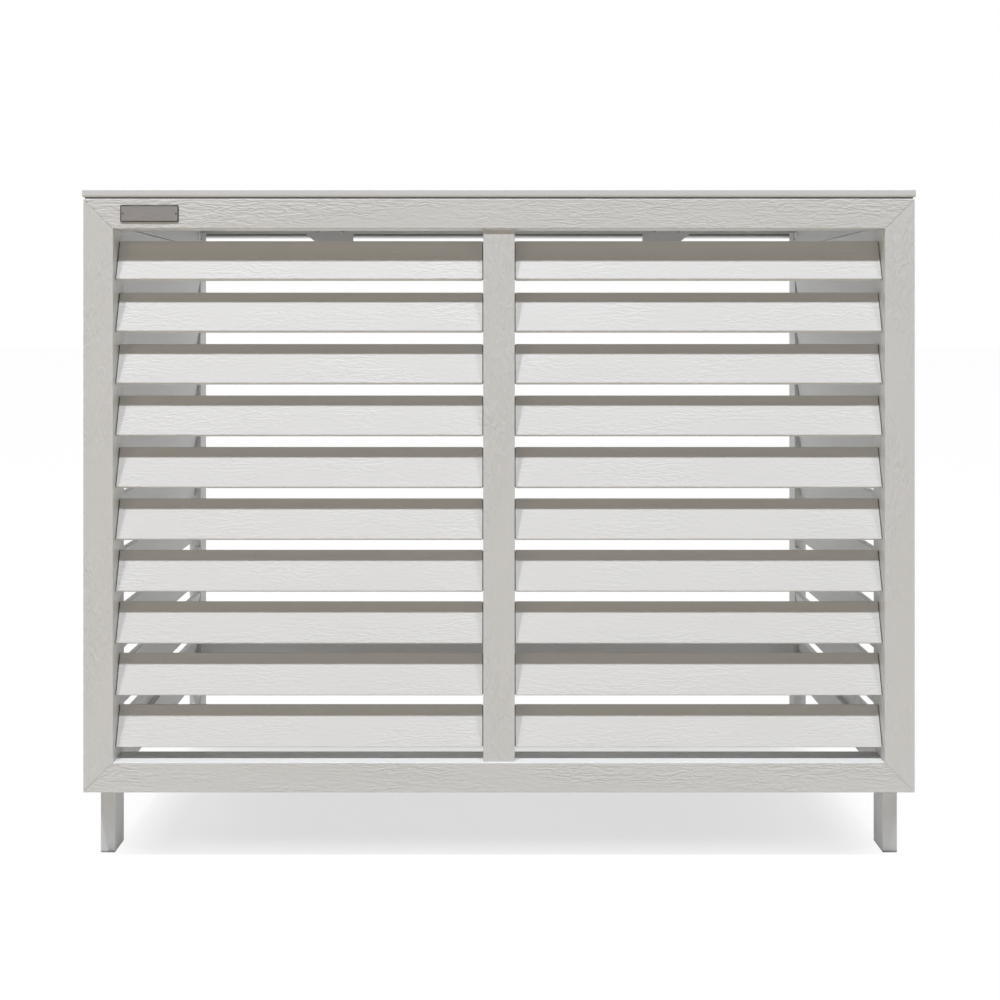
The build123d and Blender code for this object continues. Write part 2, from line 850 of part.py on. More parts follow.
def hinge_moving_leaf():
    """The right moving leaf: a strap under the lid's sheet, with the middle knuckle."""
    inner = hinge_inner
    outer = hinge_inner + hinge_width
    low = lid_underside - hinge_leaf
    leaf = block((inner, hinge_strap_front(), low), (outer, cabinet_depth, lid_underside))
    third = knuckle_third()
    leaf += knuckle(inner + third + hinge_knuckle_gap, outer - third - hinge_knuckle_gap, low)
    for x in rivet_places():
        hole = along_z(x, rivet_depth(), low - overrun)
        leaf -= rod(hole, rivet_shank_radius + screw_hole_clearance, hinge_leaf + overrun)
    return leaf


def hinge_pin():
    """The right hinge's pin, with a head at each end."""
    length = hinge_width
    axle = rod(along_x(hinge_inner, hinge_axis_y, hinge_axis_z), hinge_pin_radius, length)
    for start in (hinge_inner - hinge_pin_head_height, hinge_inner + length):
        head = along_x(start, hinge_axis_y, hinge_axis_z)
        axle += rod(head, hinge_pin_head_radius, hinge_pin_head_height)
    return axle


def hinge_screws():
    """The screws of both fixed leaves, into the rear top rail's front wall."""
    screws = []
    for x in hinge_screw_places():
        plane = along_y(x, rear_leg_front - hinge_leaf, rear_rail_middles()[0][1])
        screws += both_sides(screw(plane, hinge_screw_head_radius, hinge_screw_head_height,
                                   hinge_screw_shank_radius, hinge_screw_length))
    return screws


def lid_rivets():
    """The rivets that hold the moving leaves to the lid, flush with its top."""
    rivets = []
    for x in rivet_places():
        plane = along_z(x, rivet_depth(), lid_underside - hinge_leaf)
        rivets += both_sides(screw(plane, rivet_head_radius, rivet_head_height,
                                   rivet_shank_radius, hinge_leaf + lid_sheet))
    return rivets


def write_pair(name, solid):
    """Writes a right piece and its left twin under their own names."""
    left, right = both_sides(solid)
    write("left_" + name, [left])
    write("right_" + name, [right])


def write_group_pair(name, solids):
    """Writes a group of right pieces and the group of their left twins."""
    write("left_" + name, [mirror(solid, about=Plane.YZ) for solid in solids])
    write("right_" + name, solids)


def write_front_panel():
    """Everything that pulls off with the front panel."""
    write_pair("front_stile", front_stile())
    write("front_top_rail", [front_top_rail()])
    write("front_bottom_rail", [front_rail(front_low, front_low)])
    write("front_mullion", [mullion()])
    write("mullion_spigots", mullion_spigots())
    write("front_corner_cleats", front_cleats())
    for row in range(front_slat_rows):
        write_pair("bay_slat_%02d" % (row + 1), front_slat(row))
    write_group_pair("stile_slat_clips", stile_clips())
    write("mullion_slat_clips", mullion_clips())
    write("name_plate", [name_plate()])
    write("name_plate_rivets", plate_rivets())
    write("catch_sockets", catch_sockets())


def write_cabinet():
    """Everything that stays standing."""
    write_pair("front_leg", front_leg())
    write_pair("rear_leg", rear_leg())
    write_pair("side_top_rail", side_top_rail())
    write_pair("side_bottom_rail", side_bottom_rail())
    write_group_pair("side_slats", side_slats())
    write_group_pair("side_slat_clips", side_slat_clips())
    write("side_corner_cleats", side_cleats())
    feet = both_sides(foot_plug(cabinet_front)) + both_sides(foot_plug(rear_leg_front))
    write("foot_plugs", feet)
    write("rear_top_rail", [rear_top_rail()])
    write("rear_lower_rail", [rear_lower_rail()])
    write("rail_spigots", rail_spigots())
    write("frame_screws", frame_screws())
    write("catch_studs", catch_studs())
    write("lid_pads", lid_pads())
    write("hinge_fixed_leaves", both_sides(hinge_fixed_leaf()))
    write("hinge_pins", both_sides(hinge_pin()))
    write("hinge_screws", hinge_screws())


def write_lid():
    """Everything that turns with the lid."""
    write("lid_tray", [lid_tray()])
    write("lid_battens", lid_battens())
    write("hinge_moving_leaves", both_sides(hinge_moving_leaf()))
    write("lid_rivets", lid_rivets())


os.makedirs("parts", exist_ok=True)
write_front_panel()
write_cabinet()
write_lid()
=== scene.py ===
import json
import math

import bmesh
import bpy
from mathutils import Matrix, Vector


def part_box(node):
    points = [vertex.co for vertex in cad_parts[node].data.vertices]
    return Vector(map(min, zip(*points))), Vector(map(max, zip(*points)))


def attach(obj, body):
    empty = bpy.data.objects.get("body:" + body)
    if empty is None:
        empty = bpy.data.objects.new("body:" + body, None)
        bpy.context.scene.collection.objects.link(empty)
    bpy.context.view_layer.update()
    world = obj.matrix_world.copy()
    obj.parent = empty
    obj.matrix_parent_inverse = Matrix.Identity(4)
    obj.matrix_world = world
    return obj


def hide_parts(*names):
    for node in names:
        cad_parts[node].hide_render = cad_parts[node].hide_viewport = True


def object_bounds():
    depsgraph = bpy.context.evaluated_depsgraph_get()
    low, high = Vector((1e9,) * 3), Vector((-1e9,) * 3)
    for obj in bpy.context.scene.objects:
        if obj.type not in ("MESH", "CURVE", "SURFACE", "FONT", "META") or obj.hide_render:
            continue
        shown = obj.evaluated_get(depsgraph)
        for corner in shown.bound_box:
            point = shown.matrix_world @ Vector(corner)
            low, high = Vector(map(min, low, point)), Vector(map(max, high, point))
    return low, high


# Finishes, small fasteners, light and camera of a louvred aluminium cover for an outdoor air
# conditioner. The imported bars, slats, lid and hinges stay as they are and get their finishes here.
# Lengths are in metres, and +X is to the right, +Y to the back and +Z up.

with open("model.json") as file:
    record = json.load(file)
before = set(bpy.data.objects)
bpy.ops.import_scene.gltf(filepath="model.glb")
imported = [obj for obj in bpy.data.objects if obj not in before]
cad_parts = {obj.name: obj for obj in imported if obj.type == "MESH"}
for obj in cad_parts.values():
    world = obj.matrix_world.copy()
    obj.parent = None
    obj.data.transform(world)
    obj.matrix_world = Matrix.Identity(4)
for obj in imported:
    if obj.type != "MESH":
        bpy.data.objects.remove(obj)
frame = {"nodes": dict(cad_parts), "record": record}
cad_low, cad_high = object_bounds()

MM = 0.001

# Camera, as the photograph's vanishing point and scale give it
picture_width = 1000
pixels_per_metre = 832.0
camera_distance = 1.450
camera_height = 0.6545
vanishing_column = 494.0
middle_column = 499.0
horizon_row = 323.0
sensor_width = 36.0

# Embossed grain of the coating: ripples are long along a bar and narrow across it
ripple_spacing = 2.7 * MM
ripple_length = 11 * MM
ripple_depth = 0.27 * MM
slat_ripple_depth = 0.13 * MM
ripple_sway_length = 26 * MM
ripple_sway = 2.4
fibre_spacing = 1.5 * MM
fibre_length = 8 * MM
fibre_share = 0.3
crest_range = (0.32, 0.68)
patch_size = 120 * MM
patch_range = (0.38, 0.62)
patch_depth_shares = (0.4, 1.25)
peel_size = 1.1 * MM
peel_depth = 0.012 * MM
mottle_size = 45 * MM
mottle_stretch = 3
valley_roughness = 0.54
crest_roughness = 0.46

# Smooth coating of the lid and the hinges, with a coarser orange peel than the grain's
sheet_peel_size = 1.65 * MM
sheet_peel_depth = 0.036 * MM
sheet_roughness = (0.42, 0.5)

# Grit of moulded pieces, and the length and width of the lines of drawn, turned and brushed metal.
# Both are finer on the real pieces and are drawn as coarse as they need to be to show close up
moulding_grit = 0.6 * MM
strip_grit = 0.8 * MM
rubber_grit = 0.9 * MM
grit_depth_share = 0.1
die_line = (40 * MM, 0.8 * MM)
die_roughness = (0.28, 0.5)
turning_line = (12 * MM, 0.4 * MM)
turning_depth = 0.01 * MM
brush_line = (18 * MM, 0.5 * MM)
brush_depth = 0.02 * MM
brush_roughness = (0.32, 0.5)

# Name plate: its rounded outline, raised rim and domed rivets
plate_corner = 1.5 * MM
plate_edge = 0.3 * MM
plate_rim = 0.8 * MM
plate_rim_height = 0.25 * MM
plate_face_depth = 0.06 * MM

# Seal between lid and front panel, and the strip in the rear rail's groove
seal_front = 3.3 * MM
seal_width = 8 * MM
seal_round = 1.8 * MM
seal_gap = 0.05 * MM
seal_inset = 2 * MM
seal_lip_front = 1.6 * MM
seal_lip_width = 4 * MM
seal_lip_height = 1.5 * MM
seal_lip_round = 0.3 * MM
lid_sheet = 1.5 * MM
groove_lip = 2.0 * MM
groove_width = 2.6 * MM
strip_setback = 0.6 * MM
strip_depth = 1.2 * MM
strip_round = 0.4 * MM

# Corner brackets of folded sheet at the ends of the rear top rail
bracket_width = 8.5 * MM
bracket_height = 13 * MM
bracket_drop = 7 * MM
bracket_reach = 14 * MM
bracket_sheet = 0.7 * MM
bracket_round = 0.25 * MM
bracket_gap = 0.05 * MM
bracket_screw = (1.3 * MM, 0.6 * MM, 0.7 * MM)
bracket_screw_inset = 2.7 * MM

# Screws and rivets: head radius, head height and shank radius, then the lengths of the shanks
frame_screw = (4.5 * MM, 1.3 * MM, 2.5 * MM)
frame_screw_side_length = 38 * MM
frame_screw_long_length = 56 * MM
hinge_screw = (3.5 * MM, 2.0 * MM, 1.75 * MM)
hinge_screw_length = 9 * MM
hinge_screw_places = (248.6 * MM, 287.0 * MM)
plate_rivet_radius = 1.2 * MM
plate_rivet_shank = 0.8 * MM

# Heads as shares of their radius and height, from the bearing face up, and the cross recess
pan_head_shares = [(1, 0), (1, 0.35), (0.94, 0.68), (0.8, 0.9), (0.56, 1)]
screw_tip_share = 0.55
recess_arm_share = 0.46
recess_half_share = 0.1
recess_depth_share = 0.6
dome_shares = [(1, 0.2), (0.85, 0.62), (0.5, 0.92), (0, 1)]

# Steps of round and rounded shapes, and how near points are joined
screw_steps = 24
rivet_steps = 16
edge_steps = 3
plate_corner_steps = 5
plate_edge_steps = 2
weld_distance = 0.002 * MM
same_height = 0.0001 * MM

# Lamps: a row of small ceiling lamps in front, a lower one on each side, and large boxes at the
# sides and behind
ceiling_lamp_height = 12.55
ceiling_lamp_ahead = 4.8
ceiling_lamp_size = 0.6
ceiling_lamps = [(-2.96, 818.0), (0.0, 960.0), (2.96, 462.0)]
side_lamp_height = 1.97
side_lamp_ahead = 1.5
side_lamp_size = 0.1
side_lamps = [(-1.6, 2.4), (1.6, 0.1)]
rear_box_side = 2.6
rear_box_behind = 2.6
rear_box_height = 1.3
rear_box_size = 1.2
rear_box_power = 9.0
side_box_side = 3.2
side_box_behind = 0.4
side_box_height = 1.7
side_box_size = 1.4
side_box_power = 36.0
room_strength = 0.05

ceiling_light = "#F6F9FF"
side_light = "#FFEAD2"
box_light = "#FFFFFF"
room_light = "#FFF4E9"

# Floor: under the cover it shows the shadow, and round it it turns white
floor_half_width = 30
shadow_share = 0.63
white_share = 0.985
shadow_inset = 100 * MM
shadow_fade = 115 * MM
floor_seen = "#F2F2F2"
floor_beneath = "#F5F5F5"
floor_ahead = "#C4BAAA"
light_floor_edge = 100 * MM

front_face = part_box("front_top_rail")[0].y


# Colours and nodes

def linear(code):
    """An sRGB hex colour as linear red, green, blue and alpha."""
    parts = [int(code[start:start + 2], 16) / 255 for start in (1, 3, 5)]
    return [part / 12.92 if part <= 0.04045 else ((part + 0.055) / 1.055) ** 2.4 for part in parts] + [1.0]


def add(tree, kind, inputs=None, **settings):
    """Adds a node. Settings are its own values; inputs are numbers, colours, or sockets to link from."""
    node = tree.nodes.new(kind)
    for name, value in settings.items():
        setattr(node, name, value)
    for name, value in (inputs or {}).items():
        if isinstance(value, bpy.types.NodeSocket):
            tree.links.new(value, node.inputs[name])
        else:
            node.inputs[name].default_value = value
    return node


def new_material(name, inputs):
    """A material with one Principled shader, and its tree and shader."""
    material = bpy.data.materials.new(name)
    material.use_nodes = True
    tree = material.node_tree
    tree.nodes.clear()
    shader = add(tree, "ShaderNodeBsdfPrincipled", inputs)
    add(tree, "ShaderNodeOutputMaterial", {"Surface": shader.outputs["BSDF"]})
    return material, tree, shader


def stretched(tree, axis, along, across):
    """Object coordinates in pattern sizes: one unit is along metres on the axis and across on the others."""
    scale = [1 / across] * 3
    scale[axis] = 1 / along
    place = add(tree, "ShaderNodeTexCoord").outputs["Object"]
    return add(tree, "ShaderNodeMapping", {"Vector": place, "Scale": scale}).outputs["Vector"]


def seen_directly(tree):
    """One for what the camera sees itself, mirrored or through something, and zero for lighting."""
    path = add(tree, "ShaderNodeLightPath")
    seen = add(tree, "ShaderNodeMath", {
        0: path.outputs["Is Camera Ray"], 1: path.outputs["Is Glossy Ray"],
    }, operation="MAXIMUM")
    return add(tree, "ShaderNodeMath", {
        0: seen.outputs["Value"], 1: path.outputs["Is Transmission Ray"],
    }, operation="MAXIMUM").outputs["Value"]


# Finishes

def embossed_coating(axis, name, depth):
    """Powder-coated aluminium, embossed with a wood grain that runs along the bar.

    It is a satin, pale neutral grey. The short wavy ripples are deeper in some patches than in others,
    and the coating itself has a fine orange peel and hardly any change of colour."""
    material, tree, shader = new_material(name + "_grain_" + "xyz"[axis], {"IOR": 1.5})
    sway_place = stretched(tree, axis, ripple_sway_length, ripple_sway_length / 2)
    sway = add(tree, "ShaderNodeTexNoise", {"Vector": sway_place, "Scale": 1.0, "Detail": 1.0})
    swing = add(tree, "ShaderNodeVectorMath", {
        0: sway.outputs["Color"],
        1: (ripple_sway,) * 3,
        2: stretched(tree, axis, ripple_length, ripple_spacing),
    }, operation="MULTIPLY_ADD")
    ripple = add(tree, "ShaderNodeTexNoise", {
        "Vector": swing.outputs["Vector"], "Scale": 1.0, "Detail": 1.0, "Roughness": 0.5, "Distortion": 0.5,
    })
    crest = add(tree, "ShaderNodeMapRange", {
        "Value": ripple.outputs["Fac"], "From Min": crest_range[0], "From Max": crest_range[1],
    }, interpolation_type="SMOOTHSTEP")
    fibre = add(tree, "ShaderNodeTexNoise", {
        "Vector": stretched(tree, axis, fibre_length, fibre_spacing), "Scale": 1.0, "Detail": 2.0,
    })
    relief = add(tree, "ShaderNodeMath", {
        0: fibre.outputs["Fac"], 1: fibre_share, 2: crest.outputs["Result"],
    }, operation="MULTIPLY_ADD")
    patch = add(tree, "ShaderNodeTexNoise", {
        "Vector": stretched(tree, axis, patch_size, patch_size / 3), "Scale": 1.0, "Detail": 1.0,
    })
    pressed = add(tree, "ShaderNodeMapRange", {
        "Value": patch.outputs["Fac"], "From Min": patch_range[0], "From Max": patch_range[1],
        "To Min": patch_depth_shares[0] * depth, "To Max": patch_depth_shares[1] * depth,
    })
    peel = add(tree, "ShaderNodeTexNoise", {
        "Vector": stretched(tree, axis, peel_size, peel_size), "Scale": 1.0, "Detail": 1.0,
    })
    coat = add(tree, "ShaderNodeMath", {
        0: peel.outputs["Fac"], 1: peel_depth, 2: 0.0,
    }, operation="MULTIPLY_ADD")
    height = add(tree, "ShaderNodeMath", {
        0: relief.outputs["Value"], 1: pressed.outputs["Result"], 2: coat.outputs["Value"],
    }, operation="MULTIPLY_ADD")
    bump = add(tree, "ShaderNodeBump", {"Height": height.outputs["Value"], "Distance": 1.0, "Strength": 1.0})
    tree.links.new(bump.outputs["Normal"], shader.inputs["Normal"])
    mottle = add(tree, "ShaderNodeTexNoise", {
        "Vector": stretched(tree, axis, mottle_size * mottle_stretch, mottle_size),
        "Scale": 1.0, "Detail": 3.0,
    })
    colour = add(tree, "ShaderNodeMix", {
        "Factor": mottle.outputs["Fac"], "A": linear("#CFCFCD"), "B": linear("#D4D4D3"),
    }, data_type="RGBA")
    tree.links.new(colour.outputs["Result"], shader.inputs["Base Color"])
    rough = add(tree, "ShaderNodeMapRange", {
        "Value": crest.outputs["Result"], "To Min": valley_roughness, "To Max": crest_roughness,
    })
    tree.links.new(rough.outputs["Result"], shader.inputs["Roughness"])
    return material


def smooth_coating():
    """Powder-coated sheet with no grain: satin, pale neutral grey, with a fine orange peel."""
    material, tree, shader = new_material("smooth_powder_coat", {"IOR": 1.5})
    peel = add(tree, "ShaderNodeTexNoise", {
        "Vector": stretched(tree, 0, sheet_peel_size, sheet_peel_size), "Scale": 1.0, "Detail": 1.0,
    })
    bump = add(tree, "ShaderNodeBump", {
        "Height": peel.outputs["Fac"], "Distance": sheet_peel_depth, "Strength": 1.0,
    })
    tree.links.new(bump.outputs["Normal"], shader.inputs["Normal"])
    mottle = add(tree, "ShaderNodeTexNoise", {
        "Vector": stretched(tree, 0, mottle_size * mottle_stretch, mottle_size),
        "Scale": 1.0, "Detail": 3.0,
    })
    colour = add(tree, "ShaderNodeMix", {
        "Factor": mottle.outputs["Fac"], "A": linear("#CFCFCE"), "B": linear("#D5D5D4"),
    }, data_type="RGBA")
    tree.links.new(colour.outputs["Result"], shader.inputs["Base Color"])
    rough = add(tree, "ShaderNodeMapRange", {
        "Value": mottle.outputs["Fac"], "To Min": sheet_roughness[0], "To Max": sheet_roughness[1],
    })
    tree.links.new(rough.outputs["Result"], shader.inputs["Roughness"])
    return material


def mill_aluminium():
    """Extruded aluminium as it leaves the die: grey, with fine lines along it."""
    material, tree, shader = new_material("mill_finish_aluminium", {
        "Base Color": linear("#C9CBCD"), "Metallic": 1.0,
    })
    lines = add(tree, "ShaderNodeTexNoise", {
        "Vector": stretched(tree, 2, *die_line), "Scale": 1.0, "Detail": 3.0,
    })
    rough = add(tree, "ShaderNodeMapRange", {
        "Value": lines.outputs["Fac"], "To Min": die_roughness[0], "To Max": die_roughness[1],
    })
    tree.links.new(rough.outputs["Result"], shader.inputs["Roughness"])
    return material


def moulded_plastic(name, dark, light, roughness, grit):
    """A moulded part with the fine even grit of a sparked mould and slightly uneven colour."""
    material, tree, shader = new_material(name, {"IOR": 1.5, "Roughness": roughness})
    grain = add(tree, "ShaderNodeTexNoise", {
        "Vector": stretched(tree, 2, grit, grit), "Scale": 1.0, "Detail": 2.0,
    })
    colour = add(tree, "ShaderNodeMix", {
        "Factor": grain.outputs["Fac"], "A": linear(dark), "B": linear(light),
    }, data_type="RGBA")
    tree.links.new(colour.outputs["Result"], shader.inputs["Base Color"])
    bump = add(tree, "ShaderNodeBump", {
        "Height": grain.outputs["Fac"], "Distance": grit * grit_depth_share, "Strength": 1.0,
    })
    tree.links.new(bump.outputs["Normal"], shader.inputs["Normal"])
    return material


def steel(name, tone, smooth, rough):
    """Pressed or turned stainless steel: light grey metal, finely scratched along X."""
    material, tree, shader = new_material(name, {"Base Color": linear(tone), "Metallic": 1.0})
    scratches = add(tree, "ShaderNodeTexNoise", {
        "Vector": stretched(tree, 0, *turning_line), "Scale": 1.0, "Detail": 3.0,
    })
    finish = add(tree, "ShaderNodeMapRange", {
        "Value": scratches.outputs["Fac"], "To Min": smooth, "To Max": rough,
    })
    tree.links.new(finish.outputs["Result"], shader.inputs["Roughness"])
    bump = add(tree, "ShaderNodeBump", {
        "Height": scratches.outputs["Fac"], "Distance": turning_depth, "Strength": 1.0,
    })
    tree.links.new(bump.outputs["Normal"], shader.inputs["Normal"])
    return material


def brushed_plate(name, dark, light):
    """Brushed and anodised aluminium: short fine lines along X over a grey metal."""
    material, tree, shader = new_material(name, {"Metallic": 1.0})
    lines = add(tree, "ShaderNodeTexNoise", {
        "Vector": stretched(tree, 0, *brush_line), "Scale": 1.0, "Detail": 3.0,
    })
    colour = add(tree, "ShaderNodeMix", {
        "Factor": lines.outputs["Fac"], "A": linear(dark), "B": linear(light),
    }, data_type="RGBA")
    tree.links.new(colour.outputs["Result"], shader.inputs["Base Color"])
    rough = add(tree, "ShaderNodeMapRange", {
        "Value": lines.outputs["Fac"], "To Min": brush_roughness[0], "To Max": brush_roughness[1],
    })
    tree.links.new(rough.outputs["Result"], shader.inputs["Roughness"])
    bump = add(tree, "ShaderNodeBump", {
        "Height": lines.outputs["Fac"], "Distance": brush_depth, "Strength": 1.0,
    })
    tree.links.new(bump.outputs["Normal"], shader.inputs["Normal"])
    return material


bar_grain = [embossed_coating(axis, "embossed_powder_coat", ripple_depth) for axis in range(3)]
slat_grain = [embossed_coating(axis, "lightly_embossed_powder_coat", slat_ripple_depth) for axis in range(2)]
smooth_coat = smooth_coating()
mill = mill_aluminium()
# The slat end clips are drawn dark: painted shade for the dark slits where the slats end at the stiles and
# the mullion.
nylon_dark_as_painted_shade = moulded_plastic("moulded_nylon_dark_as_painted_shade", "#3E3E3C", "#474745", 0.55, moulding_grit)
white_paint = moulded_plastic("white_painted_sheet", "#EFEFED", "#F5F5F3", 0.35, moulding_grit)
grey_plastic = moulded_plastic("moulded_grey_plastic", "#A9A8A3", "#B5B4B0", 0.55, moulding_grit)
# Black rubber for the pads. The lid seal uses it too, and there its black is partly painted shade in the
# seam.
black_rubber_and_seam_shade = moulded_plastic("moulded_black_rubber", "#141414", "#1E1E1E", 0.8, rubber_grit)
grey_rubber = moulded_plastic("extruded_grey_rubber", "#7E7E7B", "#8A8A86", 0.7, strip_grit)
stainless = steel("turned_stainless_steel", "#BFBDB9", 0.18, 0.34)
dark_steel = steel("blackened_steel", "#5A5856", 0.3, 0.45)
plate_finish = brushed_plate("brushed_anodised_plate", "#847F7C", "#9A9693")
# The dark base shows as a dark outline round the name plate's face.
dark_plate_rim = brushed_plate("dark_rimmed_plate", "#373533", "#454240")

finish_of_slot = {
    "mill_aluminium": mill,
    # The clips' dark colour is painted shade at the slat ends.
    "clip_nylon": nylon_dark_as_painted_shade,
    "foot_plastic": grey_plastic,
    "pad_rubber": black_rubber_and_seam_shade,
    "stainless_steel": stainless,
    "hinge_steel": smooth_coat,
    "plate_aluminium": plate_finish,
}


def coat_of(node):
    """The coating of a bar, with its grain along the longest side of the bar's box."""
    low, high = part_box(node)
    size = high - low
    if node == "lid_tray":
        return smooth_coat
    if "side_slats" in node:
        return slat_grain[1]
    if "bay_slat" in node:
        return slat_grain[0]
    return bar_grain[list(size).index(max(size))]


def finish_cad_nodes():
    """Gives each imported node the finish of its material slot."""
    for part in frame["record"]["subparts"]:
        node = part["node"]
        finish = finish_of_slot.get(part["material_slot"])
        for slot in frame["nodes"][node].material_slots:
            slot.material = finish or coat_of(node)


finish_cad_nodes()


# Small pieces

def new_piece(name, shape, finish, body):
    """Makes a mesh an object that rides on a body."""
    bmesh.ops.remove_doubles(shape, verts=shape.verts, dist=weld_distance)
    bmesh.ops.recalc_face_normals(shape, faces=shape.faces)
    mesh = bpy.data.meshes.new(name)
    shape.to_mesh(mesh)
    shape.free()
    mesh.materials.append(finish)
    piece = bpy.data.objects.new(name, mesh)
    bpy.context.scene.collection.objects.link(piece)
    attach(piece, body)
    return piece


def bevel(shape, edges, offset, steps):
    """Rounds edges."""
    bmesh.ops.bevel(
        shape, geom=edges, offset=offset, segments=steps, profile=0.5, affect="EDGES", material=-1,
    )


def block(shape, low, high):
    """Adds a box between two corners, and gives its edges."""
    corners = bmesh.ops.create_cube(shape, size=1)["verts"]
    bmesh.ops.scale(shape, vec=Vector(high) - Vector(low), verts=corners)
    bmesh.ops.translate(shape, vec=(Vector(low) + Vector(high)) / 2, verts=corners)
    return list({side for corner in corners for side in corner.link_edges})


def rounded_block(shape, low, high, edge):
    """Adds a box between two corners, with every edge rounded."""
    bevel(shape, block(shape, low, high), edge, edge_steps)


def turned(shape, profile, steps):
    """Spins a profile of radius and height round Z."""
    points = [shape.verts.new((radius, 0, height)) for radius, height in profile]
    edges = [shape.edges.new(pair) for pair in zip(points, points[1:])]
    bmesh.ops.spin(
        shape, geom=points + edges, cent=(0, 0, 0), axis=(0, 0, 1), angle=2 * math.pi, steps=steps,
        use_merge=True, use_duplicate=False,
    )


def ring_at(shape, height, reach):
    """The open edges at a height, no further out than a reach."""
    return [
        edge for edge in shape.edges
        if edge.is_boundary and all(
            abs(end.co.z - height) < same_height and end.co.xy.length < reach for end in edge.verts
        )
    ]


def stand(shape, place, outward):
    """Moves a shape made round Z to a place, with its top turned outward."""
    turn = Vector(outward).to_track_quat("Z", "Y").to_matrix().to_4x4()
    bmesh.ops.transform(shape, matrix=Matrix.Translation(place) @ turn, verts=shape.verts)


def pan_screw(sizes, length, place, outward):
    """A pan-head screw with a cross recess, the underside of its head at a place."""
    radius, height, shank = sizes
    shape = bmesh.new()
    tip = [(shank * screw_tip_share, -length), (shank, -length + shank), (shank, 0)]
    turned(shape, tip + [(out * radius, up * height) for out, up in pan_head_shares], screw_steps)
    rim = ring_at(shape, height, radius)
    arm = recess_arm_share * radius
    half = recess_half_share * radius
    cross = [shape.verts.new((x, y, height)) for x, y in (
        (arm, half), (half, half), (half, arm), (-half, arm), (-half, half), (-arm, half),
        (-arm, -half), (-half, -half), (-half, -arm), (half, -arm), (half, -half), (arm, -half),
    )]
    outline = [shape.edges.new((cross[number - 1], corner)) for number, corner in enumerate(cross)]
    bmesh.ops.triangle_fill(shape, edges=rim + outline, use_beauty=True)
    inside = [face for face in shape.faces if all(corner in cross for corner in face.verts)]
    bmesh.ops.delete(shape, geom=inside, context="FACES")
    wall = bmesh.ops.extrude_edge_only(shape, edges=outline)["geom"]
    deep = [corner for corner in wall if isinstance(corner, bmesh.types.BMVert)]
    bmesh.ops.translate(shape, vec=(0, 0, -recess_depth_share * height), verts=deep)
    floor = [side for side in wall if isinstance(side, bmesh.types.BMEdge)]
    bmesh.ops.triangle_fill(shape, edges=floor, use_beauty=True)
    bmesh.ops.holes_fill(shape, edges=ring_at(shape, -length, shank), sides=0)
    stand(shape, place, outward)
    return shape


def together(shapes):
    """One mesh from several."""
    whole = bmesh.new()
    for shape in shapes:
        mesh = bpy.data.meshes.new("joined")
        shape.to_mesh(mesh)
        shape.free()
        whole.from_mesh(mesh)
        bpy.data.meshes.remove(mesh)
    return whole


def make_frame_screws():
    """Stainless screws through the legs into the spigots of the rear rails and the side rails."""
    leg_low, leg_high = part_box("right_front_leg")
    rear_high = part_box("right_rear_leg")[1]
    rail_low, rail_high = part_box("right_side_bottom_rail")
    rail_middle = (rail_low.z + rail_high.z) / 2
    leg_middle = (leg_low.x + leg_high.x) / 2
    screws = []
    for side in (-1, 1):
        for node in ("rear_top_rail", "rear_lower_rail"):
            low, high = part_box(node)
            middle = (low + high) / 2
            place = (side * leg_high.x, middle.y, middle.z)
            screws.append(pan_screw(frame_screw, frame_screw_side_length, place, (side, 0, 0)))
        for y, outward in ((leg_low.y, (0, -1, 0)), (rear_high.y, (0, 1, 0))):
            place = (side * leg_middle, y, rail_middle)
            screws.append(pan_screw(frame_screw, frame_screw_long_length, place, outward))
    piece = new_piece("cross_recess_frame_screws", together(screws), stainless, "cabinet")
    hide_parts("frame_screws")


def make_hinge_screws():
    """Stainless screws through the hinges' fixed leaves into the rear top rail."""
    low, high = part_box("rear_top_rail")
    leaf_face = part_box("hinge_fixed_leaves")[0].y
    screws = []
    for x in hinge_screw_places:
        for side in (-1, 1):
            place = (side * x, leaf_face, (low.z + high.z) / 2)
            screws.append(pan_screw(hinge_screw, hinge_screw_length, place, (0, -1, 0)))
    piece = new_piece("cross_recess_hinge_screws", together(screws), stainless, "cabinet")
    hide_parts("hinge_screws")


def plate_shape(low, high, corner):
    """A flat plate between two corners, its outline rounded and its front edge broken."""
    shape = bmesh.new()
    depth = high.y - low.y
    edges = block(shape, low, high)
    uprights = [edge for edge in edges if abs(edge.verts[0].co.y - edge.verts[1].co.y) > depth / 2]
    bevel(shape, uprights, corner, plate_corner_steps)
    outline = [edge for edge in shape.edges if all(end.co.y - low.y < depth / 10 for end in edge.verts)]
    bevel(shape, outline, min(plate_edge, depth / 3), plate_edge_steps)
    return shape


def make_name_plate():
    """The bare name plate: a dark base with a brushed face let into its raised rim, so that a dark outline
    runs round the face.
    """
    low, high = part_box("name_plate")
    base = plate_shape(low, high, plate_corner)
    face = min(base.faces, key=lambda one: one.calc_center_median().y)
    bmesh.ops.inset_region(base, faces=[face], thickness=plate_rim, depth=0)
    bmesh.ops.inset_region(base, faces=[face], thickness=plate_rim_height / 2, depth=-plate_rim_height)
    piece = new_piece("dark_rimmed_plate_base", base, dark_plate_rim, "front_panel")
    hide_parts("name_plate")
    inset = plate_rim + plate_rim_height
    sheet = plate_shape(
        Vector((low.x + inset, low.y + plate_face_depth, low.z + inset)),
        Vector((high.x - inset, low.y + plate_rim_height, high.z - inset)), plate_corner / 2,
    )
    new_piece("bare_brushed_plate_face", sheet, plate_finish, "front_panel")


